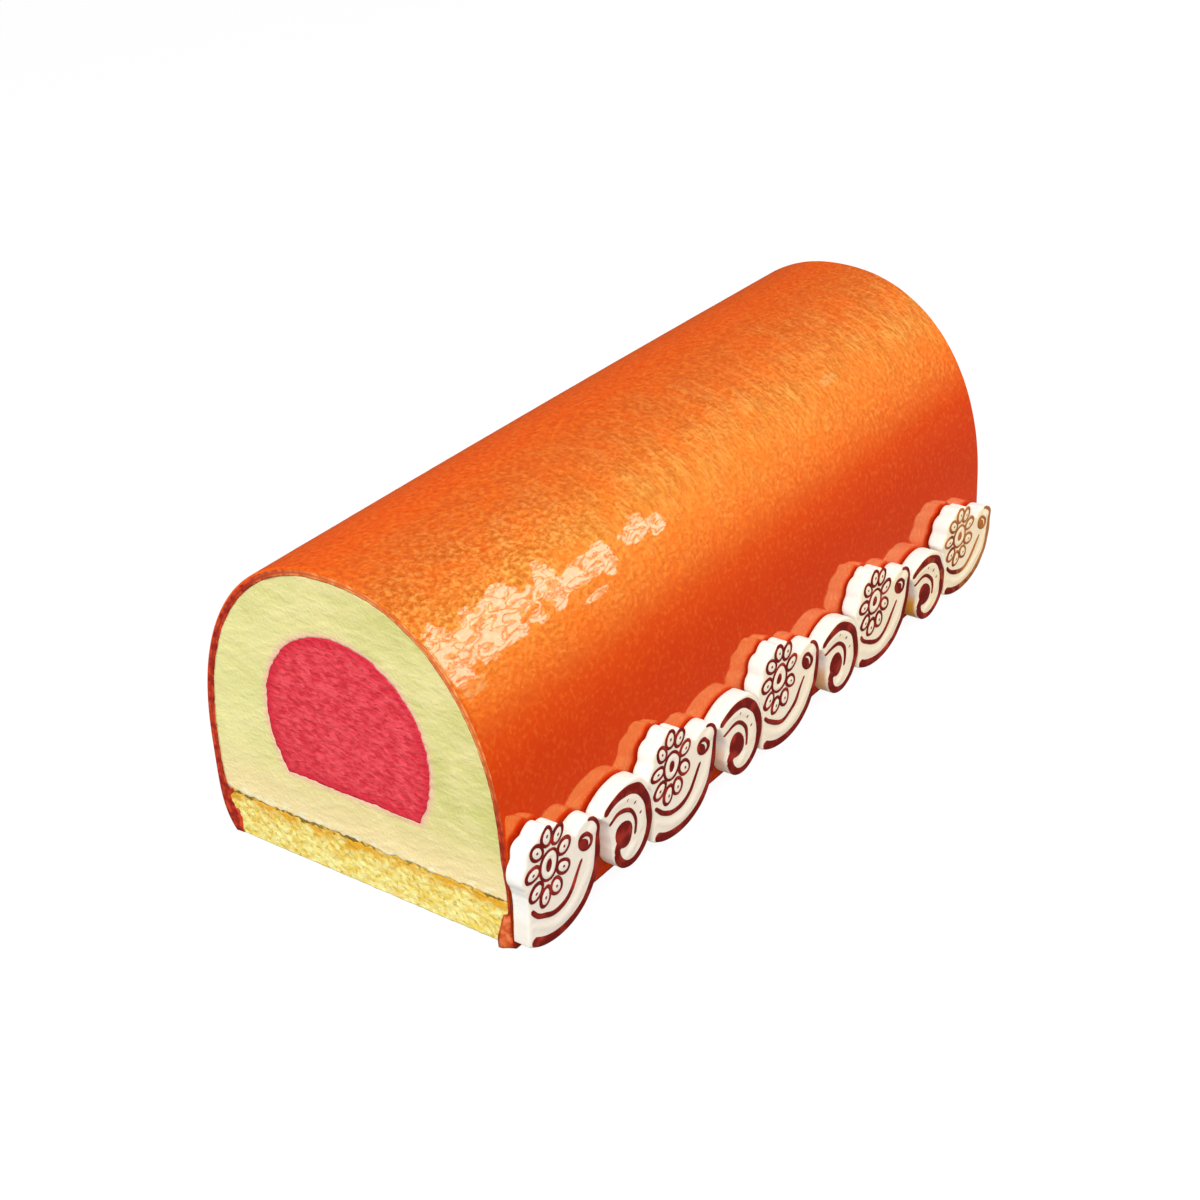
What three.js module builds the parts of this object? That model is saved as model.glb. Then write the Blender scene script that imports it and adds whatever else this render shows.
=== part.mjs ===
// A glazed yule log cake: a loaf of pale mousse set in an arched mould on a thin sponge, with a fruit
// centre running through it, under a poured glaze. Both ends are cut square. A frieze of flower and
// scroll plaques stands along its right-hand side.
//
// Millimetres. The cake runs along +Y, its front cut faces -Y, +Z is up and the frieze is on the +X
// side. The origin is the middle of the footprint, on the surface that the cake stands on.

import * as THREE from 'three';

// ---- Driving dimensions ----

const LENGTH = 203;
const HALF_WIDTH = 42;
const HEIGHT = 76.3;
const WIDEST_AT = 22.7;
const GLAZE = 2;
const SPONGE_HEIGHT = 10.9;
const SWELL = 0.4; // how much fuller the loaf is half way along than at its cut ends
const CLEARANCE = 0.3; // left between pieces that touch

// An arch is a rounded roof on two side walls that draw in towards their feet.
const GLAZE_ARCH = {
  half: HALF_WIDTH,
  widest: WIDEST_AT,
  top: HEIGHT,
  floor: 0,
  footLeft: 38.5,
  footRight: 42.3,
  footPower: 5,
  roofPower: 2.2,
};

const CORE_ARCH = {
  ...GLAZE_ARCH,
  half: HALF_WIDTH - GLAZE,
  top: HEIGHT - GLAZE,
  footLeft: 36,
  footRight: 37.8,
  footPower: 3,
};

const FRUIT_ARCH = {
  half: 22.6,
  widest: 36.4,
  top: 60.5,
  floor: 22.6,
  footLeft: 18.6,
  footRight: 18.6,
  footPower: 2,
  roofPower: 2.1,
};

// Frieze. Each piece is drawn in its own plane: s runs along the cake and h up the plaque.
const FRIEZE_FRONT = 47.5; // distance of the plaques' front faces from the loaf's middle
const FRIEZE_START = -1.3; // the first plaque stands a little proud of the front cut
const FRIEZE_PITCH = 44;
const PLAQUE_THICKNESS = 4.8;
const PLAQUE_EDGE = 0.5; // softened edge of a moulded plaque
const PLAQUE_SLANT = 0.052; // how far the first plaque slants along the cake for each mm of its height
const MORE_SLANT = 0.008; // the slant that each pitch adds towards the far end

// A flower plaque: a daisy with nine petals beside a bud, over a leaf that sweeps up to the bud.
const FLOWER = { s: 6.1, h: 20.6, halfWide: 7.9, halfHigh: 9.9 };
const PETALS = 9;
const PETAL_TURN = THREE.MathUtils.degToRad(15);
const SCALLOP_DEPTH = 0.11; // as a share of the flower's radius
const BUD = { s: 20.1, h: 19.2, radius: 4.6 };
const LEAF_TIP = 3.4; // height of the leaf's left end
const LEAF_RIGHT = 24.5;

// A scroll plaque: one curl that starts at the bud beside it and rolls in under itself.
const SCROLL_OFFSET = 25.2; // from the flower plaque's left end to the scroll's tip
const SCROLL = { width: 18.4, tip: 18.5, shoulder: 9.8, curl: 4, curlHeight: 7.5 };

// The pieces were made by hand, and they get smaller towards the far end.
const FLOWER_HEIGHTS = [0.95, 0.92, 0.9, 0.875, 0.8];
const SCROLL_HEIGHTS = [0.95, 0.895, 0.875, 0.81];
const SCROLL_LIFTS = [2.2, 1.4, 0.5, 0]; // how far above the floor each scroll was pressed on

// Smoothness of the facets.
const STATIONS = 12;
const ROOF_STEPS = 28;
const WALL_STEPS = 5;
const FRUIT_WALL_STEPS = 4;
const CURVE_STEPS = 9;

// ---- Materials ----

const glazeFinish = new THREE.MeshStandardMaterial({ color: 0xe4602a, roughness: 0.28, metalness: 0.15 });
const mousseFinish = new THREE.MeshStandardMaterial({ color: 0xece59b, roughness: 0.75, metalness: 0 });
const fruitFinish = new THREE.MeshStandardMaterial({ color: 0xe9464e, roughness: 0.55, metalness: 0 });
const spongeFinish = new THREE.MeshStandardMaterial({ color: 0xf8e286, roughness: 0.95, metalness: 0 });
const plaqueFinish = new THREE.MeshStandardMaterial({ color: 0xf6efe0, roughness: 0.4, metalness: 0 });

// ---- Cross-sections ----

// The same arch, with its roof and walls drawn in by the clearance.
function drawnIn(arch) {
  return {
    ...arch,
    half: arch.half - CLEARANCE,
    top: arch.top - CLEARANCE,
    footLeft: arch.footLeft - CLEARANCE,
    footRight: arch.footRight - CLEARANCE,
  };
}

// The arch at a distance along the cake: the loaf is fuller half way along, and its feet run straight.
function swollen(arch, y) {
  const swell = SWELL * Math.sin((Math.PI * y) / LENGTH);
  return { ...arch, half: arch.half + swell, top: arch.top + swell };
}

// How far a side wall stands from the middle at height z, up to the widest height.
function wallReach(arch, foot, z) {
  const down = (arch.widest - z) / (arch.widest - arch.floor);
  return foot + (arch.half - foot) * (1 - down ** arch.footPower);
}

// Points of a wall from one height to another.
function wallPoints(arch, side, from, to, steps) {
  const foot = side > 0 ? arch.footRight : arch.footLeft;
  const points = [];
  for (let i = 0; i <= steps; i += 1) {
    const z = from + ((to - from) * i) / steps;
    points.push(new THREE.Vector2(side * wallReach(arch, foot, z), z));
  }
  return points;
}

// Points of the roof from the right wall's top to the left wall's top, both left out.
function roofPoints(arch) {
  const rise = arch.top - arch.widest;
  const flatten = 2 / arch.roofPower;
  const points = [];
  for (let i = 1; i < ROOF_STEPS; i += 1) {
    const angle = (Math.PI * i) / ROOF_STEPS;
    const across = Math.sign(Math.cos(angle)) * Math.abs(Math.cos(angle)) ** flatten;
    points.push(new THREE.Vector2(arch.half * across, arch.widest + rise * Math.sin(angle) ** flatten));
  }
  return points;
}

// An arch from height z on its right wall, over the roof, down to height z on its left wall.
function archPoints(arch, z, wallSteps) {
  return [
    ...wallPoints(arch, 1, z, arch.widest, wallSteps),
    ...roofPoints(arch),
    ...wallPoints(arch, -1, arch.widest, z, wallSteps),
  ];
}

// ---- Pieces that run through the cake ----

// A solid from the front cut to the far cut. loopsAt(y) gives its outline there, and then its holes.
function runThrough(loopsAt) {
  const positions = [];
  const indices = [];
  const rings = [];
  for (let station = 0; station <= STATIONS; station += 1) {
    const y = (LENGTH * station) / STATIONS;
    rings.push(loopsAt(y).map((loop) => {
      const first = positions.length / 3;
      loop.forEach((point) => positions.push(point.x, y, point.y));
      return { first, count: loop.length };
    }));
  }
  for (let station = 0; station < STATIONS; station += 1) {
    rings[station].forEach((near, loop) => {
      const far = rings[station + 1][loop];
      for (let i = 0; i < near.count; i += 1) {
        const next = (i + 1) % near.count;
        indices.push(near.first + i, far.first + next, near.first + next);
        indices.push(near.first + i, far.first + i, far.first + next);
      }
    });
  }
  const [outline, ...holes] = loopsAt(0);
  const cap = THREE.ShapeUtils.triangulateShape(outline, holes);
  const farFirst = rings[STATIONS][0].first;
  cap.forEach(([a, b, c]) => {
    indices.push(a, b, c);
    indices.push(farFirst + a, farFirst + c, farFirst + b);
  });
  const geometry = new THREE.BufferGeometry();
  geometry.setAttribute('position', new THREE.Float32BufferAttribute(positions, 3));
  geometry.setIndex(indices);
  geometry.computeVertexNormals();
  return geometry;
}

function glazeCoat() {
  return runThrough((y) => {
    const outside = archPoints(swollen(GLAZE_ARCH, y), 0, WALL_STEPS);
    const inside = archPoints(swollen(CORE_ARCH, y), 0, WALL_STEPS);
    return [[...outside, ...inside.reverse()]];
  });
}

function mousseLoaf() {
  return runThrough((y) => {
    const core = drawnIn(swollen(CORE_ARCH, y));
    const outline = archPoints(core, SPONGE_HEIGHT + CLEARANCE, WALL_STEPS - 1);
    const tunnel = archPoints(FRUIT_ARCH, FRUIT_ARCH.floor, FRUIT_WALL_STEPS);
    return [outline, tunnel.reverse()];
  });
}

function fruitCentre() {
  const fruit = { ...drawnIn(FRUIT_ARCH), floor: FRUIT_ARCH.floor + CLEARANCE };
  return runThrough(() => [archPoints(fruit, fruit.floor, FRUIT_WALL_STEPS)]);
}

function spongeBase() {
  return runThrough((y) => {
    const core = drawnIn(swollen(CORE_ARCH, y));
    return [[
      ...wallPoints(core, 1, 0, SPONGE_HEIGHT, 2),
      ...wallPoints(core, -1, SPONGE_HEIGHT, 0, 2),
    ]];
  });
}

// ---- Plaques ----

// The daisy's scalloped edge, one bump for each petal, between two angles round its middle.
function scallops(from, to) {
  const steps = Math.round((to - from) / (Math.PI / 20));
  const points = [];
  for (let i = 0; i <= steps; i += 1) {
    const angle = from + ((to - from) * i) / steps;
    const bump = Math.abs(Math.cos((PETALS / 2) * (angle - PETAL_TURN)));
    const reach = 1 - SCALLOP_DEPTH * (1 - bump);
    points.push(new THREE.Vector2(
      FLOWER.s + FLOWER.halfWide * reach * Math.cos(angle),
      FLOWER.h + FLOWER.halfHigh * reach * Math.sin(angle),
    ));
  }
  return points;
}

function flowerOutline() {
  const outline = new THREE.Shape();
  const leafTop = BUD.h - 2;
  outline.moveTo(0, LEAF_TIP);
  outline.bezierCurveTo(0.24 * LEAF_RIGHT, -1.8, LEAF_RIGHT, -3.1, LEAF_RIGHT, leafTop);
  outline.absarc(BUD.s, BUD.h, BUD.radius, -0.1, 2.5);
  scallops(0.62, 3.4).forEach((point) => outline.lineTo(point.x, point.y));
  outline.lineTo(0, FLOWER.h - 4.5);
  outline.closePath();
  return outline;
}

function scrollOutline() {
  const { width, tip, shoulder, curl, curlHeight } = SCROLL;
  const outline = new THREE.Shape();
  outline.moveTo(0, tip);
  outline.quadraticCurveTo(1.3 * curl, 0.7 * tip, curl, curlHeight);
  outline.bezierCurveTo(1.4 * curl, -0.58 * curlHeight, width, -0.2 * curlHeight, width, shoulder);
  outline.bezierCurveTo(width, 2.6 * shoulder, 0.28 * width, 2.5 * shoulder, 0, tip);
  return outline;
}

// A plaque cut from an outline, with its foot at height 0 and its front face in the plane x = 0.
function plaqueSolid(outline, heightFactor, slant) {
  const points = outline.getPoints(CURVE_STEPS);
  const foot = Math.min(...points.map((point) => point.y));
  const placed = points.map((point) => {
    const height = (point.y - foot) * heightFactor;
    return new THREE.Vector2(point.x + slant * height, height);
  });
  const geometry = new THREE.ExtrudeGeometry(new THREE.Shape(placed), {
    depth: PLAQUE_THICKNESS - 2 * PLAQUE_EDGE,
    bevelThickness: PLAQUE_EDGE,
    bevelSize: PLAQUE_EDGE,
    bevelOffset: -PLAQUE_EDGE,
    bevelSegments: 1,
    steps: 1,
  });
  geometry.translate(0, 0, PLAQUE_EDGE - PLAQUE_THICKNESS);
  const alongUpOut = new THREE.Matrix4().makeBasis(
    new THREE.Vector3(0, 1, 0),
    new THREE.Vector3(0, 0, 1),
    new THREE.Vector3(1, 0, 0),
  );
  geometry.applyMatrix4(alongUpOut);
  return geometry;
}

function placedPlaque(name, outline, heightFactor, along, lift) {
  const slant = PLAQUE_SLANT + (MORE_SLANT * along) / FRIEZE_PITCH;
  const plaque = new THREE.Mesh(plaqueSolid(outline, heightFactor, slant), plaqueFinish.clone());
  plaque.name = name;
  plaque.position.set(FRIEZE_FRONT, along, lift);
  return plaque;
}

function frieze() {
  const pieces = new THREE.Group();
  FLOWER_HEIGHTS.forEach((height, i) => {
    const along = FRIEZE_START + FRIEZE_PITCH * i;
    pieces.add(placedPlaque(`flower_plaque_${i + 1}`, flowerOutline(), height, along, 0));
  });
  SCROLL_HEIGHTS.forEach((height, i) => {
    const along = FRIEZE_START + FRIEZE_PITCH * i + SCROLL_OFFSET;
    pieces.add(placedPlaque(`scroll_plaque_${i + 1}`, scrollOutline(), height, along, SCROLL_LIFTS[i]));
  });
  return pieces;
}

// ---- The cake ----

function namedPiece(name, geometry, finish) {
  const piece = new THREE.Mesh(geometry, finish);
  piece.name = name;
  return piece;
}

function yuleLogCake() {
  const cake = new THREE.Group();
  cake.add(namedPiece('glaze_coat', glazeCoat(), glazeFinish));
  cake.add(namedPiece('mousse_loaf', mousseLoaf(), mousseFinish));
  cake.add(namedPiece('fruit_centre', fruitCentre(), fruitFinish));
  cake.add(namedPiece('sponge_base', spongeBase(), spongeFinish));
  cake.add(frieze());

  // The origin goes to the middle of the footprint.
  cake.updateMatrixWorld(true);
  const box = new THREE.Box3().setFromObject(cake, true);
  const middle = box.getCenter(new THREE.Vector3());
  cake.position.set(-middle.x, -middle.y, -box.min.z);
  return cake;
}

export default yuleLogCake();
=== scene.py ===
"""Looks for the glazed yule log cake: a pearly poured glaze over pale mousse, a fruit centre, a thin
sponge and a frieze of moulded white chocolate plaques with maroon line work.

Sizes are millimetres in the cake's own coordinates until placed() puts them in the frame: x runs from the
loaf's middle towards the frieze, y from the front cut to the far one, and z up from the floor.
"""

import math

import bmesh
import bpy
import numpy as np
from mathutils import Matrix, Vector, noise


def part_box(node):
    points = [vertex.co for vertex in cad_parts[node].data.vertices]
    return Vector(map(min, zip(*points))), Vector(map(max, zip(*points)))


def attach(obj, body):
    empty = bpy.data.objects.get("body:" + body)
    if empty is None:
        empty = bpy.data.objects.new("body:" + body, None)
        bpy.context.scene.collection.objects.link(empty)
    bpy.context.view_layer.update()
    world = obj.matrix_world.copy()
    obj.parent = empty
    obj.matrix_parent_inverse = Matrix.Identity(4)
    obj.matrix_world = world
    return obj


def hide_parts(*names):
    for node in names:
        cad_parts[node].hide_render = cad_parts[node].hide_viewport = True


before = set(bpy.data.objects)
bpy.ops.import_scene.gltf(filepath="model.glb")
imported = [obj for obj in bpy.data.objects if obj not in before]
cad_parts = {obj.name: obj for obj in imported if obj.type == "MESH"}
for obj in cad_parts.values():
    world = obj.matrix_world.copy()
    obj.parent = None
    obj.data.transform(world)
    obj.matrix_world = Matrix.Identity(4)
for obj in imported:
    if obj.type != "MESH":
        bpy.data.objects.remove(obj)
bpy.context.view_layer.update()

MM = 0.001
loaf_low, loaf_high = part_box("mousse_loaf")
MIDDLE = (loaf_low.x + loaf_high.x) / 2 / MM
FRONT = loaf_low.y / MM
LENGTH = loaf_high.y / MM - FRONT

# ---- Sizes of the loaf ----

HALF_WIDTH = 42
HEIGHT = 76.3
GLAZE = 2
SWELL = 0.4  # how much fuller the loaf is half way along than at its cuts
SPONGE_TOP = 10.5
MOUSSE_FOOT = 11.0

# An arch: its half width, the height where it is widest, its top and its floor, how far each foot stands
# from the middle, and the powers of its curves below and above the widest height. A higher one is squarer.
GLAZE_ARCH = {
    "half": HALF_WIDTH,
    "widest": 22.7,
    "top": HEIGHT,
    "floor": 0,
    "foot_left": 38.5,
    "foot_right": 42.3,
    "foot_power": 5,
    "roof_power": 2.2,
}
CORE_ARCH = {
    **GLAZE_ARCH,
    "half": HALF_WIDTH - GLAZE,
    "top": HEIGHT - GLAZE,
    "foot_left": 36,
    "foot_right": 37.8,
    "foot_power": 3,
}
FRUIT_ARCH = {
    "half": 22.6,
    "widest": 36.4,
    "top": 60.5,
    "floor": 22.6,
    "foot_left": 18.6,
    "foot_right": 18.6,
    "foot_power": 2,
    "roof_power": 2.1,
}

# Where glaze ran in under the left side of the sponge: height, reach up and down, and depth.
GLAZE_RUNS = ((10.5, 1.3, 1.9), (4.0, 3.0, 1.7))

PULLED_FOOT = 1.6  # how far the knife pulled the glaze's right foot forward at the front cut
CORE_PRESSED = 1.3  # how far the soft mousse was pressed out into the glaze, low on the frieze's side

# Flakes along one shoulder where the glaze dried with a hard shine: middle in x and y, half sizes in x and y.
SHINY_FLAKES = (
    (28.2, 4, 5.6, 5.5),
    (27.6, 19, 4.4, 15),
    (28.2, 36.5, 4.2, 4),
    (29, 46, 2.3, 9),
    (29.4, 54, 2.8, 3.4),
    (28.5, 67, 1.9, 7.5),
    (29.3, 73, 1.9, 3.4),
    (32.6, 47, 0.7, 5),
    (25.6, 152, 1.3, 4),
)

# ---- Sizes of the frieze: on a plaque s runs along the cake, and h up ----

FRIEZE_FRONT = 47.5  # how far the plaques' front plane stands from the loaf's middle
FRIEZE_START = -1.3  # where the first plaque starts along the cake
FRIEZE_PITCH = 44  # from one flower to the next
PLAQUE_THICKNESS = 4.8
PLAQUE_EDGE = 0.3  # the radius of a plaque's soft edge
PLAQUE_SLANT = 0.052  # how far the first plaque slants along the cake for each mm of its height
MORE_SLANT = 0.008  # the slant that each pitch adds towards the far end
RELIEF = 0.3  # how far the raised pattern stands in front of a plaque's flat face
HAND_BEND = 0.45  # how far a hand made line strays from its drawn one

FLOWER = {"s": 6.1, "h": 20.6, "half_wide": 7.9, "half_high": 9.9}  # the daisy's cast outline
PETALS = 9
PETAL_TURN = math.radians(15)
SCALLOP_DEPTH = 0.11  # how deep the daisy's edge is cut between two petals, as a share of its reach
BUD = {"s": 20.1, "h": 19.2, "radius": 4.6}  # the bud's cast outline
LEAF_TIP = 3.4  # the height of the leaf's left end
LEAF_RIGHT = 24.5  # how far the leaf reaches along the cake
DAISY = (6.9, 20.4)  # the middle of the painted daisy
EYE_HALF = (2.95, 3.6)  # half sizes of the ring round the daisy's eye
PETAL_HALF = (2.15, 1.6)  # half length and half width of a petal's line
PETAL_REACH = (5.3, 7.4)  # half sizes of the oval that the petals stand on
PAINTED_BUD = np.array((19.4, 18.7))  # the middle of the painted bud, a ring filled in on its left
BUD_TURN = -0.75

SCROLL_OFFSET = 25.2  # from a flower to its scroll
SCROLL = {"width": 18.4, "tip": 18.5, "shoulder": 9.8, "curl": 4, "curl_height": 7.5}

# Each plaque's height as a share of the drawn one, and how far each scroll stands above the floor.
FLOWER_HEIGHTS = (0.95, 0.92, 0.9, 0.875, 0.8)
SCROLL_HEIGHTS = (0.95, 0.895, 0.875, 0.81)
SCROLL_LIFTS = (2.2, 1.4, 0.5, 0)

# ---- Camera ----

CAMERA_AZIMUTH = math.radians(37.66)
CAMERA_ELEVATION = math.radians(28.87)
CAMERA_ROLL = math.radians(-3.14)
CAMERA_PLACE = (278.58, -271.31, 279.34)
LENS = 65.16


def linear(hex_colour):
    """An sRGB hex colour as the linear colour that a socket takes."""
    channels = [int(hex_colour[i:i + 2], 16) / 255 for i in (0, 2, 4)]
    return [c / 12.92 if c <= 0.04045 else ((c + 0.055) / 1.055) ** 2.4 for c in channels] + [1]


def placed(points):
    """Points of the cake's own coordinates, in millimetres, as points of the frame, in metres."""
    return (np.asarray(points, float) + (MIDDLE, FRONT, 0)) * MM


def add(tree, kind, settings=None):
    """Adds a node with its settings: its properties, and what its sockets hold or are fed by.

    A socket takes a value, a colour as an sRGB hex, an output, or a node, whose first output in use feeds it.
    """
    made = tree.nodes.new(kind)
    for name, value in (settings or {}).items():
        if isinstance(name, str) and hasattr(made, name):
            setattr(made, name, value)
            continue
        socket = made.inputs[name]
        if isinstance(value, bpy.types.Node):
            value = next(output for output in value.outputs if output.enabled)
        if isinstance(value, bpy.types.NodeSocket):
            tree.links.new(value, socket)
        elif isinstance(value, str) and socket.type == "RGBA":
            socket.default_value = linear(value)
        else:
            socket.default_value = value
    return made


def empty_tree(owner):
    """The node tree of a material or of the world, with nothing in it."""
    owner.use_nodes = True
    owner.node_tree.nodes.clear()
    return owner.node_tree


def new_object(name, data, material=None):
    """An object in the scene, from its mesh, curve, camera or light."""
    made = bpy.data.objects.new(name, data)
    bpy.context.collection.objects.link(made)
    if material:
        data.materials.append(material)
    return made


def meshed(name, vertices, edges=(), faces=(), material=None):
    """An object with a new mesh of these points, edges and faces."""
    mesh = bpy.data.meshes.new(name)
    mesh.from_pydata(vertices, edges, faces)
    return new_object(name, mesh, material)


# ---- Camera, lights and floor ----


def camera_turn():
    """The camera's right, up and back directions as the columns of a turn."""
    flat = math.cos(CAMERA_ELEVATION)
    back = Vector((
        math.sin(CAMERA_AZIMUTH) * flat,
        -math.cos(CAMERA_AZIMUTH) * flat,
        math.sin(CAMERA_ELEVATION),
    ))
    right = Vector((math.cos(CAMERA_AZIMUTH), math.sin(CAMERA_AZIMUTH), 0))
    level = Matrix((right, back.cross(right), back)).transposed()
    return level @ Matrix.Rotation(CAMERA_ROLL, 3, "Z")


def set_camera():
    camera = new_object("camera", bpy.data.cameras.new("camera"))
    camera.data.lens = LENS
    camera.data.sensor_width = 36
    camera.data.clip_start = 0.01
    place = Matrix.Translation(Vector(placed(CAMERA_PLACE)))
    camera.matrix_world = place @ camera_turn().to_4x4()
    bpy.context.scene.camera = camera


def softbox(name, target, azimuth, elevation, distance, size, power, roll=0):
    """An area light that looks at a point of the cake. Azimuth turns from +X towards +Y."""
    azimuth, elevation = math.radians(azimuth), math.radians(elevation)
    away = Vector((
        math.cos(azimuth) * math.cos(elevation),
        math.sin(azimuth) * math.cos(elevation),
        math.sin(elevation),
    ))
    light = new_object(name, bpy.data.lights.new(name, "AREA"))
    light.data.shape = "RECTANGLE"
    light.data.size, light.data.size_y = (side * MM for side in size)
    light.data.energy = power
    light.location = Vector(placed(target)) + away * distance * MM
    turn = away.to_track_quat("Z", "Y").to_matrix() @ Matrix.Rotation(math.radians(roll), 3, "Z")
    light.rotation_euler = turn.to_euler()
    light.visible_camera = False
    return light


def set_lights():
    # Each box has what it looks at, its azimuth and elevation from there, its distance, sides and power.
    cake = (0, LENGTH / 2, 30)
    shoulder = (27, 30, 66)
    softbox("key_front", cake, -66, 43, 900, (700, 500), 6.2)
    side = softbox("fill_side", (HALF_WIDTH, LENGTH, 40), 30, 20, 450, (300, 300), 1.15)
    side.visible_glossy = False
    back = softbox("rim_back", cake, 85, 38, 900, (700, 260), 0.9)
    back.visible_glossy = False
    # The strip is what the glaze mirrors on its shoulder, and it lights nothing else.
    strip = softbox("strip_mirrored", shoulder, 51.9, 37.3, 900, (320, 640), 2.9, roll=-34)
    strip.visible_diffuse = False

    bpy.context.scene.world = bpy.data.worlds.new("studio")
    tree = empty_tree(bpy.context.scene.world)
    # The backdrop is white, the room that lights the cake is a soft grey, and the one it mirrors is dark.
    room, dark_room, backdrop = (
        add(tree, "ShaderNodeBackground", {"Color": "ffffff", "Strength": strength})
        for strength in (0.6, 0.06, 1.0)
    )
    path = add(tree, "ShaderNodeLightPath").outputs
    lit = add(tree, "ShaderNodeMixShader", {0: path["Is Glossy Ray"], 1: room, 2: dark_room})
    seen = add(tree, "ShaderNodeMixShader", {0: path["Is Camera Ray"], 1: lit, 2: backdrop})
    add(tree, "ShaderNodeOutputWorld", {"Surface": seen})
    bpy.context.scene.view_settings.view_transform = "Standard"


def set_floor():
    """A white table. It looks white, but throws little light up at the cake and shows little in its gloss."""
    material = bpy.data.materials.new("white_table")
    tree = empty_tree(material)
    table = add(tree, "ShaderNodeBsdfDiffuse", {"Color": (0.12, 0.12, 0.12, 1)})
    path = add(tree, "ShaderNodeLightPath").outputs
    thrown = add(tree, "ShaderNodeMath", {"operation": "MULTIPLY", 0: path["Is Diffuse Ray"], 1: 0.42})
    strength = add(tree, "ShaderNodeMath", {
        "operation": "MULTIPLY_ADD",
        0: path["Is Camera Ray"],
        1: 0.9,
        2: thrown,
    })
    glow = add(tree, "ShaderNodeEmission", {"Color": "ffffff", "Strength": strength})
    both = add(tree, "ShaderNodeAddShader", {0: table, 1: glow})
    add(tree, "ShaderNodeOutputMaterial", {"Surface": both})
    reach = 6
    corners = [(-reach, -reach, 0), (reach, -reach, 0), (reach, reach, 0), (-reach, reach, 0)]
    meshed("floor", corners, [], [(0, 1, 2, 3)], material)


# ---- Materials ----

PER_MM = 1 / MM  # a texture's scale for a pattern one millimetre across


def new_surface(name):
    """An empty material and its object coordinates."""
    material = bpy.data.materials.new(name)
    tree = empty_tree(material)
    return material, tree, add(tree, "ShaderNodeTexCoord").outputs["Object"]


def finish_surface(material, settings):
    """Gives a material its shader, with these settings."""
    shader = add(material.node_tree, "ShaderNodeBsdfPrincipled", settings)
    add(material.node_tree, "ShaderNodeOutputMaterial", {"Surface": shader})
    return material


def fade(tree, place, axis, none, full, most=1):
    """Runs from 0 to most between two places along one of the cake's axes, given in millimetres."""
    start = {"X": MIDDLE, "Y": FRONT, "Z": 0}[axis]
    return add(tree, "ShaderNodeMapRange", {
        "Value": add(tree, "ShaderNodeSeparateXYZ", {0: place}).outputs[axis],
        "From Min": (start + none) * MM,
        "From Max": (start + full) * MM,
        "To Max": most,
    })


def layered(tree, colour, layers):
    """Colours laid one over another on a first one.

    Each layer is what it follows, the values of that where the layer starts and where it is full, how much
    it covers there, and its colour.
    """
    for follows, none, full, most, over in layers:
        covered = add(tree, "ShaderNodeMapRange", {
            "Value": follows,
            "From Min": none,
            "From Max": full,
            "To Max": most,
        })
        colour = add(tree, "ShaderNodeMix", {"data_type": "RGBA", 0: covered, 6: colour, 7: over})
    return colour


def shiny_flakes(tree, place):
    """1 on the hard, shiny flakes of one shoulder, with ragged borders and fine cracks, and 0 elsewhere."""
    nearness = None
    for x, y, half_x, half_y in SHINY_FLAKES:
        around = add(tree, "ShaderNodeMapping", {
            "Vector": place,
            "Location": (-(x + MIDDLE) / half_x, -(y + FRONT) / half_y, 0),
            "Scale": (1 / (half_x * MM), 1 / (half_y * MM), 0),
        })
        away = add(tree, "ShaderNodeVectorMath", {"operation": "LENGTH", 0: around})
        near = add(tree, "ShaderNodeMath", {"operation": "SUBTRACT", 0: 1.0, 1: away})
        if nearness:
            near = add(tree, "ShaderNodeMath", {"operation": "MAXIMUM", 0: near, 1: nearness})
        nearness = near
    # The skin crumpled there into creases that run along the cake.
    along = add(tree, "ShaderNodeMapping", {"Vector": place, "Scale": (1, 1 / 2.4, 1)})
    ragged = add(tree, "ShaderNodeTexNoise", {
        "Vector": along,
        "Scale": PER_MM / 3.0,
        "Detail": 4,
        "Distortion": 0.4,
    })
    border = add(tree, "ShaderNodeMath", {"operation": "MULTIPLY_ADD", 0: ragged, 1: 1.9, 2: nearness})
    flake = add(tree, "ShaderNodeMapRange", {"Value": border, "From Min": 1.02, "From Max": 1.12})
    veins = add(tree, "ShaderNodeTexNoise", {
        "Vector": along,
        "Scale": PER_MM / 2.1,
        "Detail": 3,
        "Distortion": 1.0,
    })
    off_vein = add(tree, "ShaderNodeMath", {"operation": "SUBTRACT", 0: veins, 1: 0.5})
    from_vein = add(tree, "ShaderNodeMath", {"operation": "ABSOLUTE", 0: off_vein})
    return add(tree, "ShaderNodeMapRange", {
        "Value": from_vein,
        "From Min": -0.004,
        "From Max": 0.085,
        "To Max": flake,
    })


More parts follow.
